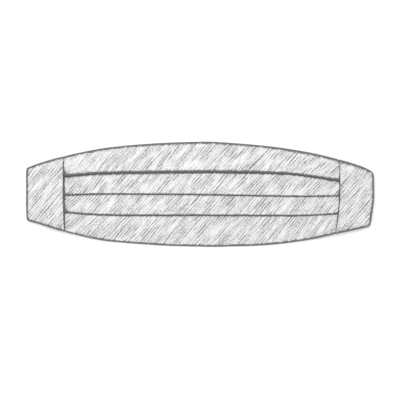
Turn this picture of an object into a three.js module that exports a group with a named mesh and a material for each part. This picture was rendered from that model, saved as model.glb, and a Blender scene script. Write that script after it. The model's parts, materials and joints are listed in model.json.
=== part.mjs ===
// A cummerbund: a pleated waist sash lying flat on a surface, front up, with its strap fastened behind it.
// Millimetres. X runs along the sash, +Y points to its upper edge, and +Z up from the surface.
// The origin is on the surface, under the middle of the sash.

import * as THREE from "three";

// The sash
const sashLength = 410;
const sashHeight = 121.5; // at the middle, from the lower edge to the upper
const clothWall = 1;
const layerGap = 0.25; // air between two layers of one folded cloth
const pieceGap = 0.3; // air between two pieces
const tuckAtMiddle = 6; // how far a fold reaches over the strip below it
const stripSwell = 0.5; // how far a strip bows out between its folds
const climbStart = 0.45; // the share of a strip's width that lies flat before it climbs onto its own tuck
const backSeamDepth = 8; // from the upper edge to the seam that closes the cloth behind
const pinchLength = 6; // over which the cloth narrows to enter an end tab
const drapeLength = 70; // from an end tab to where the cloth's long edges lie on the surface
const sashStations = 26; // cross-sections along the pleated cloth

// The end tabs
const tabWall = 1;
const tabOverlap = 8; // the least length of pleated cloth inside a tab
const tabTaperStart = 5; // past the end of that cloth, where the tab starts to thin
const tabEndHollow = 1; // air between its two faces at the end
const tabStations = 8; // cross-sections from a tab's mouth to its round end

// The strap behind, in two halves that a slider joins
const strapWidth = 38;
const strapWall = 1;
const strapBelowMiddle = 3; // the strap's middle line, under the sash's own
const strapLap = 24; // sewn under a tab
const strapInset = 5; // its fold stays this far inside a tab's end
const strapTail = 14; // sewn to the strap, past the slope that comes down from the slider
const tailSlope = 8;

// The slider, a flat ring with a middle bar
const sliderThickness = 1.6;
const sliderOuterBar = 3;
const sliderMiddleBar = 6;
const sliderSlot = 6; // along the strap
const sliderSlotRoom = 1; // by which a slot is wider than the strap
const sliderSide = 2.5; // past the ends of the slots
const sliderCorner = 3;
const sliderSlotCorner = 0.5;
const sliderBevel = 0.3;
const humpLength = 75; // over which the sash comes down from the slider, to each side

// The edges of the sash, from its left end to its right. "along" is a share of half the length,
// "upper" and "lower" are shares of half the height.
const outline = [
  { along: -1.0, upper: 0.49, lower: -0.49 },
  { along: -0.925, upper: 0.585, lower: -0.563 },
  { along: -0.79, upper: 0.712, lower: -0.703 },
  { along: -0.58, upper: 0.862, lower: -0.868 },
  { along: -0.44, upper: 0.922, lower: -0.921 },
  { along: -0.23, upper: 0.975, lower: -0.974 },
  { along: 0.0, upper: 1.0, lower: -0.997 },
  { along: 0.12, upper: 0.991, lower: -1.0 },
  { along: 0.39, upper: 0.915, lower: -0.966 },
  { along: 0.6, upper: 0.811, lower: -0.881 },
  { along: 0.8, upper: 0.648, lower: -0.74 },
  { along: 0.93, upper: 0.51, lower: -0.645 },
  { along: 1.0, upper: 0.4, lower: -0.59 },
];

// The three folds, as shares of the same halves.
const folds = [
  { along: -0.85, first: 0.33, second: -0.03, third: -0.345 },
  { along: -0.786, first: 0.347, second: -0.025, third: -0.357 },
  { along: -0.58, first: 0.405, second: -0.002, third: -0.4 },
  { along: -0.3, first: 0.428, second: -0.005, third: -0.41 },
  { along: 0.0, first: 0.437, second: -0.014, third: -0.415 },
  { along: 0.3, first: 0.43, second: -0.032, third: -0.42 },
  { along: 0.53, first: 0.396, second: -0.045, third: -0.423 },
  { along: 0.67, first: 0.337, second: -0.047, third: -0.411 },
  { along: 0.805, first: 0.257, second: -0.036, third: -0.376 },
  { along: 0.86, first: 0.235, second: -0.034, third: -0.36 },
];

// The ends of the sash and the mouths of its tabs. "across" runs from -1 at the lower edge to 1 at the
// upper, and the others are shares of half the length.
const tabEdges = [
  { across: -1.0, leftEnd: -0.993, leftMouth: -0.782, rightMouth: 0.781, rightEnd: 0.966 },
  { across: -0.93, leftEnd: -0.997, leftMouth: -0.783, rightMouth: 0.783, rightEnd: 0.978 },
  { across: -0.5, leftEnd: -1.0, leftMouth: -0.785, rightMouth: 0.795, rightEnd: 0.99 },
  { across: 0.0, leftEnd: -1.0, leftMouth: -0.786, rightMouth: 0.804, rightEnd: 1.0 },
  { across: 0.5, leftEnd: -1.0, leftMouth: -0.787, rightMouth: 0.805, rightEnd: 1.0 },
  { across: 0.86, leftEnd: -1.0, leftMouth: -0.789, rightMouth: 0.804, rightEnd: 0.994 },
  { across: 1.0, leftEnd: -0.996, leftMouth: -0.79, rightMouth: 0.803, rightEnd: 0.976 },
];

// A smooth curve through one column of a table, as a function of another column.
function curveThrough(rows, along, column) {
  const slopeAt = (i) => {
    const [before, after] = [rows[Math.max(i - 1, 0)], rows[Math.min(i + 1, rows.length - 1)]];
    return (after[column] - before[column]) / (after[along] - before[along]);
  };
  return (t) => {
    const next = rows.findIndex((row) => row[along] > t);
    const i = next < 0 ? rows.length - 2 : Math.max(next - 1, 0);
    const [low, high] = [rows[i], rows[i + 1]];
    const span = high[along] - low[along];
    const s = THREE.MathUtils.clamp((t - low[along]) / span, 0, 1);
    const [s2, s3] = [s * s, s * s * s];
    return (
      (2 * s3 - 3 * s2 + 1) * low[column] +
      (3 * s2 - 2 * s3) * high[column] +
      (s3 - 2 * s2 + s) * span * slopeAt(i) +
      (s3 - s2) * span * slopeAt(i + 1)
    );
  };
}

// From 0 at or before "from" to 1 at or past "to", with no corner.
const ease = (value, from, to) => THREE.MathUtils.smoothstep((value - from) / (to - from), 0, 1);

// The outline and the folds, as y at each x
const halfLength = sashLength / 2;
const halfHeight = sashHeight / 2;
const lineAlong = (rows, column) => {
  const share = curveThrough(rows, "along", column);
  return (x) => halfHeight * share(x / halfLength);
};
const upperEdge = lineAlong(outline, "upper");
const lowerEdge = lineAlong(outline, "lower");
const foldLines = ["first", "second", "third"].map((name) => lineAlong(folds, name));

// The tabs' ends and mouths, as x at each place across the sash
const lineAcross = (column) => {
  const share = curveThrough(tabEdges, "across", column);
  return (across) => halfLength * share(across);
};
const [leftEnd, leftMouth] = ["leftEnd", "leftMouth"].map(lineAcross);
const [rightEnd, rightMouth] = ["rightEnd", "rightMouth"].map(lineAcross);
const placesOf = (mouth) => tabEdges.map((row) => mouth(row.across));
const leftInner = Math.max(...placesOf(leftMouth));
const rightInner = Math.min(...placesOf(rightMouth));
const clothStart = Math.min(...placesOf(leftMouth)) - tabOverlap;
const clothEnd = Math.max(...placesOf(rightMouth)) + tabOverlap;

// How high the sash's underside lies: over the strap and the slider, and coming down to the surface at
// its long edges between the tabs.
const strapLayer = strapWall + pieceGap;
const overStrap = 2 * strapLayer + pieceGap;
const overSlider = 2 * strapLayer + sliderThickness + pieceGap;
const sliderReach = sliderMiddleBar / 2 + sliderSlot + sliderOuterBar;
const sliderHalfWidth = (strapWidth + sliderSlotRoom) / 2 + sliderSide;

function underside(x, y) {
  const fromSlider = ease(Math.abs(x), sliderReach, sliderReach + humpLength);
  const lift = THREE.MathUtils.lerp(overSlider, overStrap, fromSlider);
  const [upper, lower] = [upperEdge(x), lowerEdge(x)];
  const upperSide = ease(upper - y, 0, upper + strapBelowMiddle - sliderHalfWidth);
  const lowerSide = ease(y - lower, 0, -strapBelowMiddle - sliderHalfWidth - lower);
  const fromTab = Math.min(x - leftInner, rightInner - x);
  const drape = ease(fromTab, 0, drapeLength);
  return lift * THREE.MathUtils.lerp(1, Math.min(upperSide, lowerSide), drape);
}

// Both faces of a band of even thickness that follows a line, as one ring: out on one face and back on the other.
function bandRing(line, wall) {
  const runs = line.slice(1).map((point, i) => point.clone().sub(line[i]).normalize());
  const offsets = line.map((point, i) => {
    const [before, after] = [runs[Math.max(i - 1, 0)], runs[Math.min(i, runs.length - 1)]];
    const run = before.clone().add(after).normalize();
    return new THREE.Vector2(-run.y, run.x).multiplyScalar(wall / 2 / run.dot(after));
  });
  const left = line.map((point, i) => point.clone().add(offsets[i]));
  const right = line.map((point, i) => point.clone().sub(offsets[i]));
  return [...right, ...left.reverse()];
}

// A band's half turn from one height to another. Its outside reaches "reach", and it opens away from
// "way", which is 1 or -1.
function halfTurn(reach, way, fromHeight, toHeight, wall) {
  const steps = 3;
  const radius = Math.abs(toHeight - fromHeight) / 2;
  const centre = reach - way * (radius + wall / 2);
  return Array.from({ length: steps + 1 }, (_, i) => {
    const angle = (Math.PI * i) / steps;
    const height = THREE.MathUtils.lerp(fromHeight, toHeight, (1 - Math.cos(angle)) / 2);
    return new THREE.Vector2(centre + way * radius * Math.sin(angle), height);
  });
}

// A closed skin over rings that follow each other. The first and last ring are closed by rungs that go
// from one of their faces to the other.
function skinOver(rings) {
  const count = rings[0].length;
  const faces = [];
  for (let ring = 0; ring < rings.length - 1; ring++)
    for (let i = 0; i < count; i++) {
      const [a, b] = [ring * count + i, ring * count + ((i + 1) % count)];
      faces.push(a, b, b + count, a, b + count, a + count);
    }
  const last = (rings.length - 1) * count;
  for (let i = 0; i < count / 2 - 1; i++) {
    const [a, b, c, d] = [i, i + 1, count - 2 - i, count - 1 - i];
    faces.push(a, c, b, a, d, c);
    faces.push(last + a, last + b, last + c, last + a, last + c, last + d);
  }
  const geometry = new THREE.BufferGeometry().setFromPoints(rings.flat());
  geometry.setIndex(faces);
  geometry.computeVertexNormals();
  return geometry;
}

// The pleated cloth is one piece: plain behind, and folded over itself in front
const layerPitch = clothWall + layerGap;
const back = clothWall / 2;
const bed = back + layerPitch; // a strip where the fold above covers it
const turned = bed + layerPitch; // the cloth on its way back up inside a fold
const raised = turned + layerPitch; // a strip that lies on its own tuck
const clothThickness = raised + clothWall / 2;
const edgeThickness = bed + clothWall / 2;
const enterTab = tabWall + pieceGap; // what a tab takes of the cloth's room on each side

// 1 where a tab holds the cloth, and 0 away from the tabs.
function heldByTab(x) {
  const fromTab = Math.min(x - leftInner, rightInner - x);
  return 1 - ease(fromTab, 0, pinchLength);
}

// The front was cut to one width, so the tucks take up what the outline narrows.
function tuckAt(x) {
  const shown = (place) => upperEdge(place) - lowerEdge(place);
  return tuckAtMiddle + (shown(0) - shown(x)) / (2 * foldLines.length);
}

// A strip of the front on its way down, from one height to another.
function strip(from, to, fromHeight, toHeight, swell) {
  const steps = 5;
  return Array.from({ length: steps + 1 }, (_, i) => {
    const share = i / steps;
    const height = THREE.MathUtils.lerp(fromHeight, toHeight, ease(share, climbStart, 1));
    return new THREE.Vector2(THREE.MathUtils.lerp(from, to, share), height + swell * Math.sin(Math.PI * share));
  });
}

// The line that the cloth follows across the sash at x, as y and the height over the underside.
function clothLine(x) {
  const held = heldByTab(x);
  const upper = upperEdge(x) - enterTab * held;
  const lower = lowerEdge(x) + enterTab * held;
  const swell = stripSwell * (1 - held);
  const tuck = tuckAt(x);
  const line = [new THREE.Vector2(upper - backSeamDepth, back), ...halfTurn(upper, 1, back, bed, clothWall)];
  let from = upper - edgeThickness;
  for (const foldLine of foldLines) {
    const fold = foldLine(x);
    line.push(
      ...strip(from, fold + tuck + pieceGap, bed, raised, swell),
      ...halfTurn(fold, -1, raised, turned, clothWall),
      ...halfTurn(fold + tuck, 1, turned, bed, clothWall),
    );
    from = fold;
  }
  const backSteps = 8;
  const backPoint = (_, i) =>
    new THREE.Vector2(THREE.MathUtils.lerp(lower, upper - backSeamDepth - layerGap, (i + 1) / backSteps), back);
  line.push(
    ...strip(from, lower + edgeThickness, bed, bed, swell),
    ...halfTurn(lower, -1, bed, back, clothWall),
    ...Array.from({ length: backSteps }, backPoint),
  );
  return line;
}

function pleatedCloth() {
  const stations = [clothStart, leftInner];
  const [first, last] = [leftInner + pinchLength, rightInner - pinchLength];
  const between = sashStations - 4;
  for (let i = 0; i < between; i++) stations.push(THREE.MathUtils.lerp(first, last, i / (between - 1)));
  stations.push(rightInner, clothEnd);
  const rings = stations.map((x) => {
    const lift = enterTab * heldByTab(x);
    return bandRing(clothLine(x), clothWall).map(
      (point) => new THREE.Vector3(x, point.x, point.y + lift + underside(x, point.x)),
    );
  });
  return skinOver(rings);
}

// An end tab is a pocket of cloth, closed all round but for its mouth, where it takes in the pleats
const fullTab = clothThickness + 2 * enterTab;
const tabEdgeThickness = edgeThickness + 2 * enterTab;
const tabEndThickness = tabEndHollow + 2 * tabWall;

// A tab is at its thickest from where the cloth inside it lies on its first tuck.
const firstTuckFromEdge = (x) => upperEdge(x) - foldLines[0](x) - tuckAt(x);
const tabShoulder = Math.min(firstTuckFromEdge(leftInner), firstTuckFromEdge(rightInner)) - 2 * enterTab;

// How a tab's section rises from its long edge: "from" is a share of the shoulder's run, "half" is a
// share of the half thickness there, and "full" is how far that thickness has come to its greatest.
const tabShoulderSteps = [
  { from: 0.0, half: 0.45, full: 0.0 },
  { from: 0.16, half: 1.0, full: 0.1 },
  { from: 0.5, half: 1.0, full: 0.7 },
  { from: 1.0, half: 1.0, full: 1.0 },
];

// How a tab's end is rounded off: "left" is a share of the rounding that is still to come, and "half" is
// a share of the half thickness there.
const tabEndSteps = [
  { left: 0.3, half: 0.8 },
  { left: 0.0, half: 0.4 },
];

// "mouth" and "end" give x across the tab, and "clothTip" is where the pleated cloth stops inside it.
function endTab(mouth, end, clothTip) {
  const way = Math.sign(clothTip);

  // One ring of the pocket's outside, or of its hollow where inset is the wall. "fromEnd" is how far it
  // is from the tab's end, and "flat" thins it.
  function ring(share, inset, fromEnd, flat) {
    const place = (across) => THREE.MathUtils.lerp(mouth(across), end(across) - way * fromEnd, share);
    const top = upperEdge(place(1)) - inset;
    const bottom = lowerEdge(place(-1)) + inset;
    const point = (y, side, step) => {
      const x = place((2 * (y - bottom)) / (top - bottom) - 1);
      const tip = Math.abs(clothTip) + tabTaperStart;
      const thinned = ease(Math.abs(x), tip, halfLength - tabEndThickness);
      const deep = THREE.MathUtils.lerp(tabEdgeThickness, fullTab, step.full);
      const thickness = THREE.MathUtils.lerp(deep, tabEndThickness, thinned);
      const half = (thickness / 2 - inset) * step.half * flat;
      return new THREE.Vector3(x, y, underside(x, y) + thickness / 2 + side * half);
    };
    const face = (side) => {
      const rising = tabShoulderSteps.map((step) => point(bottom + step.from * tabShoulder, side, step));
      const falling = tabShoulderSteps.map((step) => point(top - step.from * tabShoulder, side, step));
      return [...rising, ...falling.reverse()];
    };
    return [...face(-1), ...face(1).reverse()];
  }

  const roundEnd = tabEndThickness / 2;
  const shares = Array.from({ length: tabStations }, (_, i) => i / (tabStations - 1));
  const rings = [
    ...shares.map((share) => ring(share, tabWall, tabWall, 1)).reverse(),
    ...shares.map((share) => ring(share, 0, roundEnd, 1)),
    ...tabEndSteps.map((step) => ring(1, 0, roundEnd * step.left, step.half)),
  ];
  return skinOver(way > 0 ? rings : rings.map((points) => points.reverse()));
}

// Half of the strap: sewn under a tab, folded back under itself, then round the slider's outer bar
function strapHalf(way) {
  const low = strapWall / 2;
  const sewn = overStrap - pieceGap - strapWall / 2;
  const overBar = low + 2 * pieceGap + sliderThickness + strapWall;
  const onStrap = low + strapLayer;
  const tabFold = halfLength - strapInset;
  const barInner = sliderReach - sliderOuterBar;
  const barTurn = barInner - pieceGap - sliderThickness / 2 - strapWall;
  const slopeStart = sliderReach + pieceGap;
  const line = [
    new THREE.Vector2(tabFold - strapLap, sewn),
    ...halfTurn(tabFold, 1, sewn, low, strapWall),
    ...halfTurn(barTurn, -1, low, overBar, strapWall),
    new THREE.Vector2(slopeStart, overBar),
    new THREE.Vector2(slopeStart + tailSlope, onStrap),
    new THREE.Vector2(slopeStart + tailSlope + strapTail, onStrap),
  ];
  const section = new THREE.Shape(bandRing(line, strapWall).map((p) => new THREE.Vector2(way * p.x, p.y)));
  return new THREE.ExtrudeGeometry(section, { depth: strapWidth, bevelEnabled: false });
}

// A rectangle with round corners, drawn into a path.
function roundedBox(path, middleX, halfX, halfY, corner) {
  const arc = (sideX, sideY, from) => {
    const [x, y] = [middleX + sideX * (halfX - corner), sideY * (halfY - corner)];
    path.absarc(x, y, corner, from, from + Math.PI / 2);
  };
  arc(1, 1, 0);
  arc(-1, 1, Math.PI / 2);
  arc(-1, -1, Math.PI);
  arc(1, -1, 1.5 * Math.PI);
  return path;
}

function slider() {
  const ring = roundedBox(new THREE.Shape(), 0, sliderReach, sliderHalfWidth, sliderCorner);
  const slotMiddle = (sliderMiddleBar + sliderSlot) / 2;
  const slotHalfWidth = (strapWidth + sliderSlotRoom) / 2;
  for (const x of [-slotMiddle, slotMiddle])
    ring.holes.push(roundedBox(new THREE.Path(), x, sliderSlot / 2, slotHalfWidth, sliderSlotCorner));
  return new THREE.ExtrudeGeometry(ring, {
    depth: sliderThickness - 2 * sliderBevel,
    curveSegments: 2,
    bevelThickness: sliderBevel,
    bevelSize: sliderBevel,
    bevelOffset: -sliderBevel,
    bevelSegments: 1,
  });
}

const silk = new THREE.MeshStandardMaterial({ color: 0xd9dadb, roughness: 0.5, metalness: 0 });
const webbing = new THREE.MeshStandardMaterial({ color: 0x8f9194, roughness: 0.85, metalness: 0 });
const nickel = new THREE.MeshStandardMaterial({ color: 0xb8b9ba, roughness: 0.3, metalness: 1 });

const cummerbund = new THREE.Group();

function addPiece(name, geometry, material) {
  const mesh = new THREE.Mesh(geometry, material);
  mesh.name = name;
  cummerbund.add(mesh);
  return mesh;
}

addPiece("pleated_front", pleatedCloth(), silk);
addPiece("end_tab_left", endTab(leftMouth, leftEnd, clothStart), silk);
addPiece("end_tab_right", endTab(rightMouth, rightEnd, clothEnd), silk);
for (const [name, way] of [["strap_left", -1], ["strap_right", 1]]) {
  const strap = addPiece(name, strapHalf(way), webbing);
  strap.rotation.x = Math.PI / 2;
  strap.position.y = strapWidth / 2 - strapBelowMiddle;
}
addPiece("strap_slider", slider(), nickel).position.set(0, -strapBelowMiddle, strapLayer + sliderBevel);

export default cummerbund;
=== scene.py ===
"""A cummerbund: a pleated waist sash of slubbed silk, lying front up on the strap that fastens it."""

import json
import math

import bmesh
import bpy
import numpy as np
from bpy.props import FloatProperty, FloatVectorProperty, IntProperty, PointerProperty
from mathutils import Matrix, Vector, noise
from mathutils.bvhtree import BVHTree

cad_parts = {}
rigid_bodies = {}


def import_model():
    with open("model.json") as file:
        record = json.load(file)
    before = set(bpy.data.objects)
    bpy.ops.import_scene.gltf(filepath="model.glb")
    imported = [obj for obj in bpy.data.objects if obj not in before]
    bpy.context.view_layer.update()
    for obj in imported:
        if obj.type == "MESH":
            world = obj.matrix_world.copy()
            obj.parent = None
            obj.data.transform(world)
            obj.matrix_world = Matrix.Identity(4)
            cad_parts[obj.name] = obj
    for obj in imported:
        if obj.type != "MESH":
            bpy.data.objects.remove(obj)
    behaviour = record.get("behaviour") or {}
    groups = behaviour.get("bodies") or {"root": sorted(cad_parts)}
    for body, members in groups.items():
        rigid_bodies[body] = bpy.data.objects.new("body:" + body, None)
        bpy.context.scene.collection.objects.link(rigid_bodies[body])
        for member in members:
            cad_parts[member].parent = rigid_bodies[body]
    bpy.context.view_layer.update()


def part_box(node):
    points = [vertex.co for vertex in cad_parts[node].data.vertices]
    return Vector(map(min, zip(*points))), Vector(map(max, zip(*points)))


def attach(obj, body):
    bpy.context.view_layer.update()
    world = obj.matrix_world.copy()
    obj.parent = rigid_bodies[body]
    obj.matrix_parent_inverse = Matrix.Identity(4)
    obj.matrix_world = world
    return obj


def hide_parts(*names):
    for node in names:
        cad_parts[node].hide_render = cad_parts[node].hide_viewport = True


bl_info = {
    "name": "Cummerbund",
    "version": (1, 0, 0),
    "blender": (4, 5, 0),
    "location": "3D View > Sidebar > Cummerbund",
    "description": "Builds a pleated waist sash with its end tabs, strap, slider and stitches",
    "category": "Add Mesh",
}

for left_over in list(bpy.data.objects):
    bpy.data.objects.remove(left_over)
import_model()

MM = 0.001
SIDES = {"left": -1, "right": 1}
CLOTH_MAP = "cloth"
# how far a point lies from a crease, which sets the painted shade along folds, edges and mouths
SHADE_LINE_DISTANCE = "shade_line_distance"

# The frame's own places, which the pieces of this script are built to.
sash_low, sash_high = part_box("pleated_front")
tab_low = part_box("end_tab_left")[0]
strap_low, strap_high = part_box("strap_right")
strap_left_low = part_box("strap_left")[0]
slider_low, slider_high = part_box("strap_slider")

# The edges of the sash, from its left end to its right. "along" is a share of half the length,
# "upper" and "lower" are shares of half the height.
OUTLINE = (
    {"along": -1.0, "upper": 0.49, "lower": -0.49},
    {"along": -0.925, "upper": 0.585, "lower": -0.563},
    {"along": -0.79, "upper": 0.712, "lower": -0.703},
    {"along": -0.58, "upper": 0.862, "lower": -0.868},
    {"along": -0.44, "upper": 0.922, "lower": -0.921},
    {"along": -0.23, "upper": 0.975, "lower": -0.974},
    {"along": 0.0, "upper": 1.0, "lower": -0.997},
    {"along": 0.12, "upper": 0.991, "lower": -1.0},
    {"along": 0.39, "upper": 0.915, "lower": -0.966},
    {"along": 0.6, "upper": 0.811, "lower": -0.881},
    {"along": 0.8, "upper": 0.654, "lower": -0.74},
    {"along": 0.93, "upper": 0.521, "lower": -0.645},
    {"along": 1.0, "upper": 0.411, "lower": -0.59},
)

# The three folds, as shares of the same halves.
FOLDS = (
    {"along": -0.85, "first": 0.33, "second": -0.03, "third": -0.345},
    {"along": -0.786, "first": 0.346, "second": -0.025, "third": -0.357},
    {"along": -0.58, "first": 0.4, "second": -0.002, "third": -0.407},
    {"along": -0.3, "first": 0.42, "second": -0.005, "third": -0.418},
    {"along": 0.0, "first": 0.429, "second": -0.014, "third": -0.415},
    {"along": 0.3, "first": 0.421, "second": -0.032, "third": -0.42},
    {"along": 0.53, "first": 0.389, "second": -0.045, "third": -0.423},
    {"along": 0.67, "first": 0.328, "second": -0.047, "third": -0.411},
    {"along": 0.805, "first": 0.253, "second": -0.036, "third": -0.382},
    {"along": 0.86, "first": 0.233, "second": -0.034, "third": -0.36},
)

FOLD_NAMES = ("first", "second", "third")

# The ends of the sash and the mouths of its tabs. "across" runs from -1 at the lower edge to 1 at the
# upper, and the others are shares of half the length.
TAB_EDGES = (
    {"across": -1.0, "left_end": -0.993, "left_mouth": -0.782, "right_mouth": 0.781, "right_end": 0.966},
    {"across": -0.93, "left_end": -0.997, "left_mouth": -0.783, "right_mouth": 0.783, "right_end": 0.978},
    {"across": -0.5, "left_end": -1.0, "left_mouth": -0.785, "right_mouth": 0.795, "right_end": 0.99},
    {"across": 0.0, "left_end": -1.0, "left_mouth": -0.786, "right_mouth": 0.804, "right_end": 1.0},
    {"across": 0.5, "left_end": -1.0, "left_mouth": -0.787, "right_mouth": 0.805, "right_end": 1.0},
    {"across": 0.86, "left_end": -1.0, "left_mouth": -0.789, "right_mouth": 0.804, "right_end": 0.998},
    {"across": 1.0, "left_end": -0.996, "left_mouth": -0.79, "right_mouth": 0.803, "right_end": 0.984},
)


class SashSizes(bpy.types.PropertyGroup):
    """The pleated cloth"""

    half_length: FloatProperty(
        name="Half length",
        description="From the middle of the sash to its end",
        default=-tab_low.x,
        unit="LENGTH",
    )
    half_height: FloatProperty(
        name="Half height",
        description="From the middle line to the edge, where the sash is highest",
        default=(sash_high.y - sash_low.y) / 2,
        unit="LENGTH",
    )
    wall: FloatProperty(name="Cloth", description="Thickness of the silk", default=0.8 * MM, unit="LENGTH")
    pitch: FloatProperty(
        name="Layer pitch",
        description="From the middle of one layer to the middle of the next",
        default=1.25 * MM,
        unit="LENGTH",
    )
    lowest: FloatProperty(
        name="Lowest layer",
        description="The back layer's middle over the underside",
        default=0.5 * MM,
        unit="LENGTH",
    )
    tuck: FloatProperty(
        name="Tuck",
        description="How far a fold reaches over the strip below it",
        default=6 * MM,
        unit="LENGTH",
    )
    swell: FloatProperty(
        name="Swell",
        description="How far a strip bows out between its folds",
        default=0.5 * MM,
        unit="LENGTH",
    )
    seam_depth: FloatProperty(
        name="Back seam",
        description="From the upper edge to the seam behind",
        default=8 * MM,
        unit="LENGTH",
    )
    proud: FloatProperty(
        name="Proud",
        description="How far the long edges stand out past their line",
        default=1.6 * MM,
        unit="LENGTH",
    )
    end_proud: FloatProperty(
        name="Proud end",
        description="How far the ends stand out past theirs",
        default=1.1 * MM,
        unit="LENGTH",
    )
    pinch: FloatProperty(
        name="Pinch",
        description="Over which the cloth narrows to enter a tab",
        default=2.5 * MM,
        unit="LENGTH",
    )
    drape: FloatProperty(
        name="Drape",
        description="From a tab to where the long edges lie on the surface",
        default=70 * MM,
        unit="LENGTH",
    )
    hump: FloatProperty(
        name="Hump",
        description="Over which the sash comes down from the slider",
        default=75 * MM,
        unit="LENGTH",
    )
    stations: IntProperty(name="Stations", description="Cross-sections along the pleated cloth", default=200)


class TabSizes(bpy.types.PropertyGroup):
    """The end tabs"""

    wall: FloatProperty(
        name="Cloth",
        description="Thickness of a tab's wall",
        default=0.7 * MM,
        unit="LENGTH",
    )
    end_thickness: FloatProperty(
        name="End",
        description="Thickness of a tab at its end",
        default=3 * MM,
        unit="LENGTH",
    )
    taper_start: FloatProperty(
        name="Taper",
        description="Past the pleats' ends, where a tab starts to thin",
        default=5 * MM,
        unit="LENGTH",
    )
    shoulder: FloatProperty(
        name="Shoulder",
        description="From a long edge to where a tab is thickest",
        default=7.7 * MM,
        unit="LENGTH",
    )


class StrapSizes(bpy.types.PropertyGroup):
    """The strap and its slider"""

    wall: FloatProperty(name="Webbing", description="Thickness of the webbing", default=1 * MM, unit="LENGTH")
    lap: FloatProperty(name="Lap", description="Length sewn under a tab", default=24 * MM, unit="LENGTH")
    tail: FloatProperty(
        name="Tail",
        description="Length sewn down past the slope",
        default=14 * MM,
        unit="LENGTH",
    )
    slope: FloatProperty(
        name="Slope",
        description="Over which the tail comes down from the slider",
        default=8 * MM,
        unit="LENGTH",
    )
    edge: FloatProperty(
        name="Edge",
        description="Rounding of the webbing's edges",
        default=0.35 * MM,
        unit="LENGTH",
    )
    bar: FloatProperty(
        name="Outer bar",
        description="Width of the slider's outer bars",
        default=3 * MM,
        unit="LENGTH",
    )
    middle_bar: FloatProperty(
        name="Middle bar",
        description="Width of the slider's middle bar",
        default=6 * MM,
        unit="LENGTH",
    )
    side_bar: FloatProperty(
        name="Side bar",
        description="Width of the slider's sides",
        default=2.5 * MM,
        unit="LENGTH",
    )
    slider_corner: FloatProperty(
        name="Slider corner",
        description="Rounding of the slider's corners",
        default=3 * MM,
        unit="LENGTH",
    )
    slot_corner: FloatProperty(
        name="Slot corner",
        description="Rounding of its slots' corners",
        default=0.8 * MM,
        unit="LENGTH",
    )
    roll: FloatProperty(
        name="Roll",
        description="Rounding of the slider's edges",
        default=0.5 * MM,
        unit="LENGTH",
    )


class StitchSizes(bpy.types.PropertyGroup):
    """The stitches"""

    spacing: FloatProperty(
        name="Spacing",
        description="From one stitch to the next",
        default=3 * MM,
        unit="LENGTH",
    )
    length: FloatProperty(name="Length", description="Length of one stitch", default=2.3 * MM, unit="LENGTH")
    thread: FloatProperty(
        name="Thread",
        description="Thickness of the thread",
        default=0.4 * MM,
        unit="LENGTH",
    )
    inset: FloatProperty(
        name="Inset",
        description="From a tab's mouth to its row of stitches",
        default=2.2 * MM,
        unit="LENGTH",
    )


class SilkLook(bpy.types.PropertyGroup):
    """The silk's colours and its slubs"""

    light: FloatVectorProperty(
        name="Light thread",
        description="Colour between the slubs",
        default=(0.79, 0.789, 0.785),
        subtype="COLOR",
    )
    dark: FloatVectorProperty(
        name="Slub",
        description="Colour of the darkest slubs",
        default=(0.192, 0.191, 0.19),
        subtype="COLOR",
    )
    # painted shade: the colour of the dark lines along the folds, edges and tab mouths, and of the painted
    # shadow under each fold
    pressed: FloatVectorProperty(
        name="Pressed edge",
        description="Colour of the rubbed folds and edges",
        default=(0.103, 0.103, 0.102),
        subtype="COLOR",
    )
    slant: FloatProperty(
        name="Slant",
        description="Angle of the slubs to the sash's length",
        default=math.radians(50),
        unit="ROTATION",
    )
    slub_length: FloatProperty(
        name="Slub length",
        description="Typical length of a slub",
        default=24 * MM,
        unit="LENGTH",
    )
    slub_pitch: FloatProperty(
        name="Slub pitch",
        description="From one slub to the next",
        default=3.0 * MM,
        unit="LENGTH",
    )
    tab_slub_pitch: FloatProperty(
        name="Tab slub pitch",
        description="From one slub to the next on the tabs",
        default=3.1 * MM,
        unit="LENGTH",
    )
    weave: FloatProperty(
        name="Weave",
        description="From one thread of the weave to the next",
        default=0.6 * MM,
        unit="LENGTH",
    )
    slub_strength: FloatProperty(name="Slub strength", description="How dark the slubs are", default=1.0)
    breaks: FloatProperty(name="Breaks", description="How strongly the slubs are broken up", default=4.0)
    dullness: FloatProperty(name="Dullness", description="How dark the dull patches are", default=0.77)
    evenness: FloatProperty(
        name="Evenness",
        description="How strong slubs and dullness stay in the calm patches",
        default=0.2,
    )
    tab_evenness: FloatProperty(name="Tab evenness", description="The same on the tabs", default=0.25)
    # width of the lines of painted shade
    edge_width: FloatProperty(
        name="Edge width",
        description="Width of the rubbed line along folds and edges",
        default=1.9 * MM,
        unit="LENGTH",
    )


class TrimLook(bpy.types.PropertyGroup):
    """The colours of the strap and the slider"""

    webbing_light: FloatVectorProperty(
        name="Webbing rib",
        description="Colour of the webbing's ribs",
        default=(0.36, 0.365, 0.375),
        subtype="COLOR",
    )
    # painted shade in the hollows between the ribs
    webbing_dark: FloatVectorProperty(
        name="Webbing hollow",
        description="Colour between its ribs",
        default=(0.12, 0.122, 0.128),
        subtype="COLOR",
    )
    nickel_light: FloatVectorProperty(
        name="Nickel",
        description="Colour of the slider",
        default=(0.66, 0.65, 0.63),
        subtype="COLOR",
    )
    nickel_dark: FloatVectorProperty(
        name="Worn nickel",
        description="Colour where it is dull",
        default=(0.36, 0.355, 0.345),
        subtype="COLOR",
    )


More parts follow.
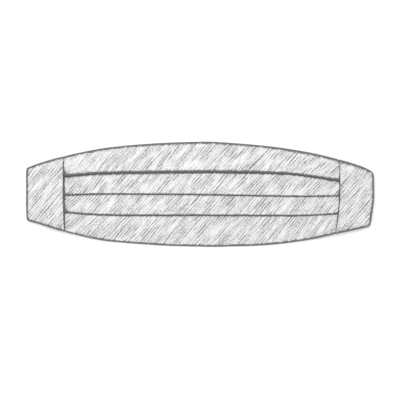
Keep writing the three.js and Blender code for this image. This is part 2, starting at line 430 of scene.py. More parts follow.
class StageLook(bpy.types.PropertyGroup):
    """The camera, light and floor"""

    lens: FloatProperty(name="Lens", description="Focal length in millimetres", default=100.0)
    view_width: FloatProperty(
        name="View width",
        description="Width of the surface that the picture shows",
        default=474 * MM,
        unit="LENGTH",
    )
    view_below: FloatProperty(
        name="View below",
        description="How far the picture's middle lies below the sash's",
        default=6.9 * MM,
        unit="LENGTH",
    )
    view_aside: FloatProperty(
        name="View aside",
        description="How far the picture's middle lies beside the sash's",
        default=-0.1 * MM,
        unit="LENGTH",
    )
    key_power: FloatProperty(name="Key light", description="Power in watts", default=9.6)
    key_size: FloatProperty(name="Key size", description="Side of the key light", default=1.0, unit="LENGTH")
    key_from: FloatVectorProperty(
        name="Key place",
        description="Where the key light stands",
        default=(-0.25, 0.5, 1.3),
        subtype="TRANSLATION",
    )
    fill: FloatProperty(name="Fill", description="Strength of the light from all round", default=0.93)
    floor: FloatVectorProperty(
        name="Floor",
        description="Colour of the floor",
        default=(0.98, 0.98, 0.98),
        subtype="COLOR",
    )


class CummerbundSettings(bpy.types.PropertyGroup):
    """Everything that a user would change"""

    sash: PointerProperty(type=SashSizes)
    tabs: PointerProperty(type=TabSizes)
    strap: PointerProperty(type=StrapSizes)
    stitches: PointerProperty(type=StitchSizes)
    silk: PointerProperty(type=SilkLook)
    trim: PointerProperty(type=TrimLook)
    stage: PointerProperty(type=StageLook)


def curve_through(rows, along, column):
    """A smooth curve through one column of a table, as a function of another column."""
    places = np.array([row[along] for row in rows])
    values = np.array([row[column] for row in rows])
    last = len(rows) - 1
    before = np.maximum(np.arange(last + 1) - 1, 0)
    after = np.minimum(np.arange(last + 1) + 1, last)
    slope = (values[after] - values[before]) / (places[after] - places[before])

    def value_at(t):
        i = np.clip(np.searchsorted(places, t, side="right") - 1, 0, last - 1)
        span = places[i + 1] - places[i]
        s = np.clip((t - places[i]) / span, 0, 1)
        s2, s3 = s * s, s * s * s
        return (
            (2 * s3 - 3 * s2 + 1) * values[i]
            + (3 * s2 - 2 * s3) * values[i + 1]
            + (s3 - 2 * s2 + s) * span * slope[i]
            + (s3 - s2) * span * slope[i + 1]
        )

    return value_at


def ease(value, start, end):
    """From 0 at or before start to 1 at or past end, with no corner."""
    share = np.clip((value - start) / (end - start), 0, 1)
    return share * share * (3 - 2 * share)


def lerp(a, b, share):
    return a + (b - a) * share


def ripple(x, y, seed, x_wave, y_wave):
    """Smooth noise from about -1 to 1, with these wave lengths."""
    return noise.noise(Vector((x / x_wave, y / y_wave, seed)))


class Plan:
    """Where the sash's lines run, seen from the front, and how high its underside lies."""

    def __init__(self, settings):
        self.sash, self.tabs = settings.sash, settings.tabs
        self.strap, self.stitches = settings.strap, settings.stitches
        self.gap = slider_low.z - self.strap.wall
        length, height = self.sash.half_length, self.sash.half_height
        share = {name: curve_through(OUTLINE, "along", name) for name in ("upper", "lower")}
        fold_share = [curve_through(FOLDS, "along", name) for name in FOLD_NAMES]
        proud, end_proud = self.sash.proud, self.sash.end_proud
        self.upper = lambda x: height * share["upper"](x / length) + proud
        self.lower = lambda x: height * share["lower"](x / length) - proud
        self.folds = [lambda x, f=f: height * f(x / length) for f in fold_share]
        self.mouth, self.end = {}, {}
        for side, way in SIDES.items():
            mouth = curve_through(TAB_EDGES, "across", side + "_mouth")
            end = curve_through(TAB_EDGES, "across", side + "_end")
            self.mouth[side] = lambda across, f=mouth: length * f(across)
            self.end[side] = lambda across, f=end, out=way * end_proud: length * f(across) + out
        left, right = (self.mouth[side](np.array([row["across"] for row in TAB_EDGES])) for side in SIDES)
        self.left_outer, self.left_inner = left.min(), left.max()
        self.right_inner, self.right_outer = right.min(), right.max()
        self.cloth_start, self.cloth_end = sash_low.x, sash_high.x

    def across(self, x, y):
        """How far up the sash y is at x, from -1 at its lower edge to 1 at its upper."""
        lower = self.lower(x)
        return np.clip(2 * (y - lower) / (self.upper(x) - lower) - 1, -1, 1)

    def from_tab(self, x, across):
        """The distance from x to the mouth of the nearer tab."""
        return np.minimum(x - self.mouth["left"](across), self.mouth["right"](across) - x)

    def held(self, x, across):
        """1 where a tab holds the cloth, and 0 away from the tabs."""
        return 1 - ease(self.from_tab(x, across), 0, self.sash.pinch)

    def tuck(self, x):
        """The front was cut to one width, so the tucks take up what the outline narrows."""
        shown = self.upper(x) - self.lower(x)
        return self.sash.tuck + (self.upper(0) - self.lower(0) - shown) / (2 * len(self.folds))

    def underside(self, x, y):
        """The height of the underside at x, for one y or an array of them."""
        over_strap, over_slider = tab_low.z, strap_high.z + self.gap
        lift = lerp(over_slider, over_strap, ease(abs(x), slider_high.x, slider_high.x + self.sash.hump))
        upper, lower = self.upper(x), self.lower(x)
        upper_side = ease(upper - y, 0, upper - slider_high.y)
        lower_side = ease(y - lower, 0, slider_low.y - lower)
        drape = ease(self.from_tab(x, 0), 0, self.sash.drape)
        return lift * lerp(1, np.minimum(upper_side, lower_side), drape)


def band(line, wall):
    """Both faces of a band that follows a line, as one ring: out on one face and back on the other."""
    runs = np.diff(line, axis=0)
    runs /= np.linalg.norm(runs, axis=1, keepdims=True)
    before, after = np.vstack([runs[:1], runs]), np.vstack([runs, runs[-1:]])
    run = before + after
    run /= np.linalg.norm(run, axis=1, keepdims=True)
    reach = wall / 2 / np.sum(run * after, axis=1, keepdims=True)
    offset = np.column_stack([-run[:, 1], run[:, 0]]) * reach
    return np.vstack([line - offset, (line + offset)[::-1]])


def half_turn(reach, way, from_height, to_height, wall, steps=7):
    """A band's half turn from one height to another. Its outside reaches "reach"."""
    radius = abs(to_height - from_height) / 2
    centre = reach - way * (radius + wall / 2)
    angles = np.pi * np.arange(steps + 1) / steps
    heights = lerp(from_height, to_height, (1 - np.cos(angles)) / 2)
    return np.column_stack([centre + way * radius * np.sin(angles), heights])


def show(name, data):
    """An object of this data, linked to the scene."""
    piece = bpy.data.objects.new(name, data)
    bpy.context.scene.collection.objects.link(piece)
    return piece


def ring_faces(ring_count, count):
    """The faces of a closed skin over rings, with rungs from face to face over the first and the last."""
    faces = []
    for ring in range(ring_count - 1):
        for i in range(count):
            a, b = ring * count + i, ring * count + (i + 1) % count
            faces.append((a, b, b + count, a + count))
    last = (ring_count - 1) * count
    for i in range(count // 2 - 1):
        a, b, c, d = i, i + 1, count - 2 - i, count - 1 - i
        faces.append((a, d, c, b))
        faces.append((last + a, last + b, last + c, last + d))
    return faces


def skin(name, rings, material):
    """A smooth closed mesh over rings of points, with its UV map and each point's distance from a crease."""
    points, uv, crease = (np.concatenate(parts) for parts in zip(*rings))
    mesh = bpy.data.meshes.new(name)
    mesh.from_pydata(points.tolist(), [], ring_faces(len(rings), len(rings[0][0])))
    corners = np.empty(len(mesh.loops), dtype=np.int32)
    mesh.loops.foreach_get("vertex_index", corners)
    mesh.uv_layers.new(name=CLOTH_MAP).data.foreach_set("uv", uv.astype(np.float32)[corners].ravel())
    # each point's distance from a crease, from which the silk paints shade
    attribute = mesh.attributes.new(SHADE_LINE_DISTANCE, "FLOAT", "POINT")
    attribute.data.foreach_set("value", crease.astype(np.float32))
    mesh.polygons.foreach_set("use_smooth", [True] * len(mesh.polygons))
    mesh.materials.append(material)
    return show(name, mesh)


# How the lines of painted shade along folds, edges and tab mouths run: each starts at some offset, less dark
# where that is greater, and fades with the distance from its crease times its fade. On the right stretch
# right_fade takes over.
SHADE_LINES = {
    "upper": {"start": 0.2 * MM, "fade": 0.44, "right_fade": 0.37},
    "first": {"start": 0.0, "fade": 0.55, "right_fade": 0.62},
    "second": {"start": 0.15 * MM, "fade": 0.86, "right_fade": 0.93},
    "third": {"start": 0.1 * MM, "fade": 0.8, "right_fade": 0.88},
    "lower": {"start": 0.3 * MM, "fade": 0.48, "right_fade": 0.42},
    "left": {"start": 0.0, "fade": 0.85, "right_fade": 0.85},
    "right": {"start": 0.3 * MM, "fade": 1.4, "right_fade": 1.4},
    "tab_upper": {"start": 0.1 * MM, "fade": 0.42, "right_fade": 0.31},
    "tab_lower": {"start": 0.1 * MM, "fade": 0.47, "right_fade": 0.42},
    "tab_end": {"start": 0.1 * MM, "fade": 0.5, "right_fade": 0.48},
    "tab_mouth": {"start": 0.1 * MM, "fade": 1.1, "right_fade": 1.9},
}
RIGHT_STRETCH = (60 * MM, 120 * MM)
CORNER_SHADE_FADE = 1.2 * MM  # by how much the painted shade along a mouth is weaker at its corners


def shade_distance(crease, distance, x):
    """How far a point counts as being from a crease of this kind, for the painted shade along it."""
    row = SHADE_LINES[crease]
    return row["start"] + distance * lerp(row["fade"], row["right_fade"], ease(x, *RIGHT_STRETCH))


class PleatedCloth:
    """The one cloth of the front: plain behind, and folded over itself three times in front."""

    strip_steps = 18
    back_steps = 26
    near_stations = 24
    hidden_stations = 4
    climb_start = 0.45  # the share of a strip's width that lies flat before it climbs onto its tuck
    wobble = 0.22 * MM  # by which an ironed fold strays from its line
    wobble_wave = 26 * MM
    unrest = 0.7  # the share by which a strip's swell comes and goes
    swell_waves = (45 * MM, 30 * MM)  # lengths along the sash and across it, as for the other waves
    gather = 0.55 * MM  # height of the small creases where the cloth enters a tab
    gather_waves = (24 * MM, 3.5 * MM)
    gather_reach = 20 * MM
    sag = 0.35 * MM  # height of the long waves of the whole cloth
    sag_waves = (70 * MM, 45 * MM)
    seam_gap = 0.2 * MM
    under_fold = 0.85  # how fast the painted shadow fades on the strip under its fold, against the painted shade above it

    def __init__(self, plan):
        self.plan, self.sash = plan, plan.sash
        self.back = self.sash.lowest
        self.bed = self.back + self.sash.pitch
        self.turned = self.bed + self.sash.pitch
        self.raised = self.turned + self.sash.pitch
        self.enter_tab = plan.tabs.wall + plan.gap

    def strip(self, x, start, end, low, high, seed):
        """A strip of the front on its way down, from one height to another."""
        share = np.linspace(0, 1, self.strip_steps + 1)
        y = lerp(start, end, share)
        across = self.plan.across(x, y)
        free = 1 - self.plan.held(x, across)
        near_tab = np.exp(-np.maximum(self.plan.from_tab(x, across), 0) / self.gather_reach)
        waves = np.array([ripple(x, at, seed, *self.swell_waves) for at in y])
        creases = np.array([ripple(x, at, seed + 9, *self.gather_waves) for at in y])
        bow = self.sash.swell * (1 + self.unrest * waves) + near_tab * self.gather * (0.5 + creases)
        height = lerp(low, high, ease(share, self.climb_start, 1)) + free * bow * np.sin(math.pi * share)
        return np.column_stack([y, height])

    def line(self, x):
        """The line that the cloth follows across the sash at x, and where its visible creases are."""
        plan, wall = self.plan, self.sash.wall
        places = (*(plan.across(x, fold(x)) for fold in plan.folds), 1, -1)
        held = [plan.held(x, across) for across in places]
        stray = [(1 - held[i]) * self.wobble * ripple(x, 0, i, self.wobble_wave, 1) for i in range(len(held))]
        upper = plan.upper(x) - self.enter_tab * held[3] + stray[3]
        lower = plan.lower(x) + self.enter_tab * held[4] + stray[4]
        tuck, edge = plan.tuck(x), self.bed + wall / 2
        seam = upper - self.sash.seam_depth
        runs = [np.array([[seam, self.back]]), half_turn(upper, 1, self.back, self.bed, wall)]
        creases = {"upper": 1}
        start = upper - edge
        for i, name in enumerate(FOLD_NAMES):
            fold = plan.folds[i](x) + stray[i]
            top = fold + tuck + self.plan.gap
            runs.append(self.strip(x, start, top, self.bed, self.raised, i))
            creases[name] = len(runs)
            runs.append(half_turn(fold, -1, self.raised, self.turned, wall))
            runs.append(half_turn(fold + tuck, 1, self.turned, self.bed, wall))
            start = fold
        runs.append(self.strip(x, start, lower + edge, self.bed, self.bed, 3))
        creases["lower"] = len(runs)
        runs.append(half_turn(lower, -1, self.bed, self.back, wall))
        back_y = np.linspace(lower, seam - self.seam_gap, self.back_steps + 1)[1:]
        runs.append(np.column_stack([back_y, np.full(self.back_steps, self.back)]))
        return runs, creases

    def ring(self, x):
        """One cross-section: its points, their UV places and their distance from a crease."""
        runs, creases = self.line(x)
        line = np.vstack(runs)
        along = np.concatenate([[0], np.cumsum(np.linalg.norm(np.diff(line, axis=0), axis=1))])
        starts = np.cumsum([0] + [len(run) for run in runs])
        distance = np.full(len(line), 1.0)  # farther than any line of painted shade reaches
        # painted shade along each fold and along the long edges where the cloth turns under
        for name, run in creases.items():
            middle = (along[starts[run]] + along[starts[run + 1] - 1]) / 2
            distance = np.minimum(distance, shade_distance(name, np.abs(along - middle), x))
            # a painted shadow on the strip under each fold
            if name in FOLD_NAMES:
                below = slice(starts[run + 2], starts[run + 3])
                gap = self.under_fold * np.maximum(line[starts[run], 0] - line[below, 0], 0)
                distance[below] = np.minimum(distance[below], shade_distance(name, gap, x))
        across = self.plan.across(x, line[:, 0])
        # painted shade where the cloth goes into each tab's mouth
        for side, way in SIDES.items():
            from_mouth = np.maximum(way * (self.plan.mouth[side](across) - x), 0)
            distance = np.minimum(distance, shade_distance(side, from_mouth, x) + CORNER_SHADE_FADE * across**2)
        section = band(line, self.sash.wall)
        y = section[:, 0]
        held = self.plan.held(x, self.plan.across(x, y))
        waves = np.array([0.5 + 0.5 * ripple(x, at, 20, *self.sag_waves) for at in y])
        lift = self.plan.underside(x, y) + lerp(self.sag * waves, self.enter_tab, held)
        points = np.column_stack([np.full(len(y), x), y, section[:, 1] + lift])
        v = -np.concatenate([along, along[::-1]])
        return points, np.column_stack([np.full(len(v), x), v]), np.concatenate([distance, distance[::-1]])

    def stations(self):
        """Where the cross-sections stand: close together at the mouths of the tabs."""
        plan, near = self.plan, 2 * self.sash.pinch
        first, last = plan.left_inner + near, plan.right_inner - near
        return np.concatenate([
            np.linspace(plan.cloth_start, plan.left_outer, self.hidden_stations)[:-1],
            np.linspace(plan.left_outer, first, self.near_stations)[:-1],
            np.linspace(first, last, self.sash.stations),
            np.linspace(last, plan.right_outer, self.near_stations)[1:],
            np.linspace(plan.right_outer, plan.cloth_end, self.hidden_stations)[1:],
        ])

    def build(self, name, material):
        return skin(name, [self.ring(x) for x in self.stations()], material)

    def cut_size(self):
        """The cloth before it was folded: as wide as its longest line, and as long as it runs."""
        return self.line_length(0), self.plan.cloth_end - self.plan.cloth_start

    def cut_area(self):
        stations = self.stations()
        lengths = [self.line_length(x) for x in stations]
        return float(np.sum(np.diff(stations) * (np.array(lengths[1:]) + lengths[:-1]) / 2))

    def line_length(self, x):
        line = np.vstack(self.line(x)[0])
        return float(np.sum(np.linalg.norm(np.diff(line, axis=0), axis=1)))


class EndTab:
    """A pocket of cloth, closed all round but for its mouth, where it takes in the pleats."""

    stations = 44
    edge_steps = 7
    shoulder_steps = 7
    middle_steps = 40
    rim_steps = 6
    end_steps = 6
    ridge = 0.3 * MM  # height of the pleats as they show through
    ridge_width = 2.2 * MM
    ridge_reach = 12 * MM
    pucker = 0.16 * MM  # height of the small waves all over it
    broad_waves = (16 * MM, 7 * MM)
    fine_waves = (9 * MM, 3 * MM)
    stitch_dip = 0.22 * MM  # how deep the row of stitches draws it in
    dip_width = 0.9 * MM
    over_pleats = 0.5 * MM  # from the middle of the top layer inside up to its wall
    first_angle = 12  # degrees round the long edge, where the section starts
    last_angle = 80  # degrees round the end, where the pocket closes

    def __init__(self, plan, cloth, side):
        self.plan, self.cloth, self.side = plan, cloth, side
        self.way = SIDES[side]
        self.wall = plan.tabs.wall
        self.full = cloth.raised + self.over_pleats + 2 * cloth.enter_tab
        self.edge = cloth.bed + self.over_pleats + 2 * cloth.enter_tab
        self.tip = abs(plan.cloth_start if side == "left" else plan.cloth_end)
        self.mouth, self.end = plan.mouth[side], plan.end[side]
        self.taper = (self.tip + plan.tabs.taper_start, plan.sash.half_length - plan.tabs.end_thickness)

    def section(self):
        """Distances from a long edge, with how round and how full the section is at each."""
        radius = self.edge / 2
        angles = np.radians(np.linspace(self.first_angle, 90, self.edge_steps))
        shares = np.linspace(0, 1, self.shoulder_steps + 1)[1:]
        rounded, shoulder = radius * (1 - np.cos(angles)), lerp(radius, self.plan.tabs.shoulder, shares)
        distance = np.concatenate([rounded, shoulder])
        rounding = np.concatenate([np.sin(angles), np.ones(self.shoulder_steps)])
        fullness = np.concatenate([np.zeros(self.edge_steps), ease(shares, 0, 1)])
        return distance, rounding, fullness

    def relief(self, x, y, from_mouth):
        """How the top bulges over the pleats inside and draws in along its stitches."""
        fade = math.exp(-from_mouth / self.ridge_reach)
        ridges = sum(math.exp(-(((y - f(x)) / self.ridge_width - 1) ** 2)) for f in self.plan.folds)
        waves = ripple(x, y, 31, *self.broad_waves) * 0.6 + ripple(x, y, 37, *self.fine_waves) * 0.4 * fade
        return self.ridge * fade * ridges + self.pucker * waves

    def dip(self, from_mouth):
        return self.stitch_dip * math.exp(-(((from_mouth - self.plan.stitches.inset) / self.dip_width) ** 2))

    def ring(self, share, inset, lead, from_end, flat):
        """One ring of the pocket, its UV places and its distance from an edge."""
        plan, way = self.plan, self.way

        def place(across):
            return lerp(self.mouth(across) + way * lead, self.end(across) - way * from_end, share)

        top = plan.upper(place(1)) - inset
        bottom = plan.lower(place(-1)) + inset
        distance, rounding, fullness = self.section()
        middle = np.linspace(bottom + distance[-1], top - distance[-1], self.middle_steps)[1:-1]
        y = np.concatenate([bottom + distance, middle, (top - distance)[::-1]])
        ones = np.ones(len(middle))
        rounding = np.concatenate([rounding, ones, rounding[::-1]])
        fullness = np.concatenate([fullness, ones, fullness[::-1]])
        faces, edges, cloth = [], [], []
        for face in (-1, 1):
            points = []
            for at, round_share, full_share in zip(y, rounding, fullness):
                across = 2 * (at - bottom) / (top - bottom) - 1
                x = place(across)
                from_mouth = abs(x - self.mouth(across))
                thinned = ease(abs(x), *self.taper)
                thick = lerp(lerp(self.edge, self.full, full_share), plan.tabs.end_thickness, thinned)
                half = (thick / 2 - inset) * round_share * flat
                z = plan.underside(x, at) + thick / 2 + face * half
                if face > 0:
                    z += self.relief(x, at, from_mouth) * full_share * flat * (1 - thinned * 0.5)
                if inset < self.wall / 2:
                    z -= face * self.dip(from_mouth) * full_share
                points.append((x, at, z))
                # painted shade along the tab's long edges, its end and its mouth
                if face > 0:
                    edges.append(min(
                        shade_distance("tab_upper", top - at, x),
                        shade_distance("tab_lower", at - bottom, x),
                        shade_distance("tab_end", abs(self.end(across) - x), x),
                        shade_distance("tab_mouth", from_mouth, x) + CORNER_SHADE_FADE * across**2,
                    ))
            points = np.array(points)
            run = np.concatenate([[0], np.cumsum(np.linalg.norm(np.diff(points[:, 1:], axis=0), axis=1))])
            centre = len(y) // 2
            cloth.append(np.column_stack([points[:, 0], y[centre] + run - run[centre]]))
            faces.append(points)
        return [np.concatenate([part[0], part[1][::-1]]) for part in (faces, cloth, (edges, edges))]

    def build(self, name, material):
        wall, round_end = self.wall, self.plan.tabs.end_thickness / 2
        shares = np.linspace(0, 1, self.stations)
        rim = np.linspace(math.pi, 0, self.rim_steps + 1)
        turn = np.radians(np.linspace(0, self.last_angle, self.end_steps + 1))[1:]
        rings = [self.ring(s, wall, wall / 2, wall, 1) for s in shares[:0:-2]]
        rings += [self.ring(0, wall / 2 * (1 - math.cos(a)), wall / 2 * (1 - math.sin(a)), 0, 1) for a in rim]
        rings += [self.ring(s, 0, wall / 2, round_end, 1) for s in shares[1:]]
        rings += [self.ring(1, 0, 0, round_end * (1 - math.sin(a)), math.cos(a)) for a in turn]
        if self.way < 0:
            rings = [[part[::-1] for part in ring] for ring in rings]
        return skin(name, rings, material)

    def cut_size(self):
        """The pocket before it was folded over, as wide as its mouth is round."""
        across = self.plan.upper(self.mouth(1)) - self.plan.lower(self.mouth(-1))
        return 2 * (across + self.full), abs(self.end(0) - self.mouth(0))

    def cut_area(self):
        """The cut narrows with the outline, from the mouth to the end."""
        x = np.linspace(self.mouth(0), self.end(0), self.stations)
        across = self.plan.upper(x) - self.plan.lower(x)
        return float(2 * np.mean(across + self.full) * abs(x[-1] - x[0]))


class Graph:
    """A node tree that is written down as calls, each of which gives back an output of its new node."""

    def __init__(self, tree):
        self.tree = tree

    def add(self, kind, inputs=(), output=0, **settings):
        """Adds a node. Its inputs are named or numbered, and take a value or another node's output."""
        node = self.tree.nodes.new(kind)
        for key, value in settings.items():
            setattr(node, key, value)
        for socket, value in dict(inputs).items():
            if isinstance(value, bpy.types.NodeSocket):
                self.tree.links.new(value, node.inputs[socket])
            else:
                node.inputs[socket].default_value = value
        return node.outputs[output]

    def math(self, operation, *values):
        return self.add("ShaderNodeMath", enumerate(values), operation=operation)


def geometry_tree(name, sizes):
    """A Geometry Nodes tree with these named inputs, its graph and its input node's outputs."""
    tree = bpy.data.node_groups.new(name, "GeometryNodeTree")
    tree.interface.new_socket("Geometry", in_out="OUTPUT", socket_type="NodeSocketGeometry")
    tree.interface.new_socket("Geometry", in_out="INPUT", socket_type="NodeSocketGeometry")
    for size in sizes:
        tree.interface.new_socket(size, in_out="INPUT", socket_type="NodeSocketFloat")
    tree.interface.new_socket("Material", in_out="INPUT", socket_type="NodeSocketMaterial")
    return tree, Graph(tree), tree.nodes.new("NodeGroupInput").outputs


def close_tree(tree, graph, given, result):
    """Ends a tree: real geometry, smooth, in the given material."""
    result = graph.add("GeometryNodeRealizeInstances", {"Geometry": result})
    result = graph.add("GeometryNodeSetShadeSmooth", {"Geometry": result})
    result = graph.add("GeometryNodeSetMaterial", {"Geometry": result, "Material": given["Material"]})
    tree.links.new(result, tree.nodes.new("NodeGroupOutput").inputs[0])
    return tree


def webbing_tree():
    """A flat band with round edges, swept along a path."""
    tree, graph, given = geometry_tree("webbing along a path", ("Width", "Thickness", "Edge"))
    section = graph.add("GeometryNodeCurvePrimitiveQuadrilateral",
                        {"Width": given["Width"], "Height": given["Thickness"]})
    section = graph.add("GeometryNodeFilletCurve", {"Curve": section, "Radius": given["Edge"], "Count": 6},
                        mode="POLY")
    swept = graph.add("GeometryNodeCurveToMesh",
                      {"Curve": given["Geometry"], "Profile Curve": section, "Fill Caps": True})
    return close_tree(tree, graph, given, swept)


def stitch_tree():
    """Short threads laid along a path or across it, each a little different from the next."""
    tree, graph, given = geometry_tree("stitches along a path", ("Spacing", "Stitch", "Thread", "Turn"))
    places = graph.add("GeometryNodeResampleCurve", {"Curve": given["Geometry"], "Length": given["Spacing"]},
                       mode="LENGTH")
    thread = graph.add("GeometryNodeMeshUVSphere", {"Segments": 8, "Rings": 6, "Radius": 0.5})
    size = graph.add("ShaderNodeCombineXYZ", {0: given["Stitch"], 1: given["Thread"], 2: given["Thread"]})
    thread = graph.add("GeometryNodeTransform", {"Geometry": thread, "Scale": size})
    tangent = graph.add("GeometryNodeInputTangent")
    way = graph.add("ShaderNodeVectorRotate", {"Vector": tangent, "Axis": (0, 0, 1), "Angle": given["Turn"]})
    turned = graph.add("FunctionNodeAlignRotationToVector", {"Vector": way}, axis="X")
    scale = graph.add("FunctionNodeRandomValue", {"Min": (0.85, 0.9, 0.9), "Max": (1.1, 1.1, 1.1), "Seed": 4},
                      data_type="FLOAT_VECTOR")
    laid = graph.add("GeometryNodeInstanceOnPoints",
                     {"Points": places, "Instance": thread, "Rotation": turned, "Scale": scale})
    return close_tree(tree, graph, given, laid)


def along_paths(name, paths, tree, values):
    """Runs a tree on straight-edged paths and gives back what it makes as a plain mesh object."""
    data = bpy.data.curves.new(name, "CURVE")
    data.dimensions = "3D"
    for path in paths:
        spline = data.splines.new("POLY")
        spline.points.add(len(path) - 1)
        for point, place in zip(spline.points, path):
            point.co = (*place, 1)
    curve = show(name, data)
    modifier = curve.modifiers.new(name, "NODES")
    modifier.node_group = tree
    for item in tree.interface.items_tree:
        if item.name in values:
            modifier[item.identifier] = values[item.name]
    mesh = bpy.data.meshes.new_from_object(curve.evaluated_get(bpy.context.evaluated_depsgraph_get()))
    mesh.name = name
    bpy.data.objects.remove(curve)
    return show(name, mesh)


def strap_path(plan, side):
    """The middle of one half of the strap: sewn under its tab, folded back, round the slider, sewn down."""
    strap, way = plan.strap, SIDES[side]
    fold = strap_high.x if way > 0 else -strap_left_low.x
    low, high = strap.wall / 2, strap_high.z - strap.wall / 2
    under_tab, on_strap = tab_low.z - plan.gap - low, low + strap.wall + plan.gap
    loop = slider_high.x - strap.bar - high / 2
    slope_start = slider_high.x + plan.gap
    run, slope = np.linspace(fold, loop, 50)[1:-1], np.linspace(0, 1, 9)
    line = np.vstack([
        [(fold - strap.lap, under_tab)],
        half_turn(fold, 1, under_tab, low, strap.wall, steps=12),
        np.column_stack([run, np.full(len(run), low)]),
        half_turn(loop, -1, low, high, strap.wall, steps=14),
        np.column_stack([slope_start + strap.slope * slope, lerp(high, on_strap, ease(slope, 0, 1))]),
        [(slope_start + strap.slope + strap.tail, on_strap)],
    ])
    return [(way * x, (strap_low.y + strap_high.y) / 2, z) for x, z in line]


def round_box(curve, low, high, corner, steps=6):
    """Adds a rectangle with round corners to a flat curve."""
    spline = curve.splines.new("POLY")
    spline.use_cyclic_u = True
    points = []
    for i, (way_x, way_y) in enumerate(((1, 1), (-1, 1), (-1, -1), (1, -1))):
        middle_x = (high[0] if way_x > 0 else low[0]) - way_x * corner
        middle_y = (high[1] if way_y > 0 else low[1]) - way_y * corner
        for angle in (np.arange(steps + 1) / steps + i) * math.pi / 2:
            points.append((middle_x + corner * math.cos(angle), middle_y + corner * math.sin(angle)))
    spline.points.add(len(points) - 1)
    for point, (x, y) in zip(spline.points, points):
        point.co = (x, y, 0, 1)


def slider_mesh(name, strap):
    """A flat ring with a middle bar, its edges rolled over."""
    data = bpy.data.curves.new(name, "CURVE")
    data.dimensions = "2D"
    data.fill_mode = "BOTH"
    data.bevel_depth = strap.roll
    data.bevel_resolution = 3
    data.offset = -strap.roll
    data.extrude = (slider_high.z - slider_low.z) / 2 - strap.roll
    round_box(data, slider_low, slider_high, strap.slider_corner)
    reach = slider_high.x - strap.bar
    side = strap.side_bar
    for low, high in ((-reach, -strap.middle_bar / 2), (strap.middle_bar / 2, reach)):
        round_box(data, (low, slider_low.y + side), (high, slider_high.y - side), strap.slot_corner)
    flat = show(name, data)
    mesh = bpy.data.meshes.new_from_object(flat.evaluated_get(bpy.context.evaluated_depsgraph_get()))
    bpy.data.objects.remove(flat)
    mesh.transform(Matrix.Translation((0, 0, (slider_low.z + slider_high.z) / 2)))
    build = bmesh.new()
    build.from_mesh(mesh)
    bmesh.ops.remove_doubles(build, verts=build.verts, dist=0.001 * MM)
    bmesh.ops.recalc_face_normals(build, faces=build.faces)
    build.to_mesh(mesh)
    build.free()
    mesh.name = name
    mesh.shade_smooth()
    return mesh


def on_surface(piece, places, way, sink):
    """Puts places (x, y) on the piece as seen from above (way 1) or below (way -1), sunk in by some depth."""
    tree = BVHTree.FromObject(piece, bpy.context.evaluated_depsgraph_get())
    path = []
    for x, y in places:
        hit = tree.ray_cast(Vector((x, y, way)), Vector((0, 0, -way)))[0]
        path.append((x, y, hit.z - way * sink))
    return path


class Surface(Graph):
    """A material's graph, which ends in its Principled shader."""

    def __init__(self, name, **values):
        self.material = bpy.data.materials.new(name)
        self.material.use_nodes = True
        super().__init__(self.material.node_tree)
        self.shader = self.tree.nodes["Principled BSDF"]
        for socket, value in values.items():
            self.shader.inputs[socket.replace("_", " ").title()].default_value = value

    def feed(self, socket, output):
        self.tree.links.new(output, self.shader.inputs[socket])

    def noise(self, place, scale, detail=2.0, roughness=0.5, at=0.0):
        """Noise from 0 to 1, with scale as its waves per metre along each axis."""
        place = self.add("ShaderNodeMapping", {"Vector": place, "Scale": scale, "Location": (at, at, at)})
        return self.add("ShaderNodeTexNoise",
                        {"Vector": place, "Scale": 1.0, "Detail": detail, "Roughness": roughness})

    def wave(self, place, axis, pitch):
        """Ribs across one axis, from 0 to 1."""
        along = self.add("ShaderNodeSeparateXYZ", {0: place}, output=axis)
        turns = self.math("MULTIPLY", along, 2 * math.pi / pitch)
        return self.math("MULTIPLY_ADD", self.math("SINE", turns), 0.5, 0.5)

    def ramp(self, value, low, high, to_low=0.0, to_high=1.0):
        """Eases a value from one range to another."""
        inputs = {"Value": value, "From Min": low, "From Max": high, "To Min": to_low, "To Max": to_high}
        return self.add("ShaderNodeMapRange", inputs, interpolation_type="SMOOTHSTEP")

    def mix(self, share, first, second):
        def colour(value):
            return value if isinstance(value, bpy.types.NodeSocket) else (*value, 1)

        inputs = {0: share, 6: colour(first), 7: colour(second)}
        return self.add("ShaderNodeMix", inputs, output=2, data_type="RGBA")

    def bump(self, *heights):
        """Raises the surface by each (value, depth in metres)."""
        normal = None
        for value, depth in heights:
            inputs = {"Height": value, "Distance": depth, "Strength": 1.0}
            if normal:
                inputs["Normal"] = normal
            normal = self.add("ShaderNodeBump", inputs)
        self.feed("Normal", normal)


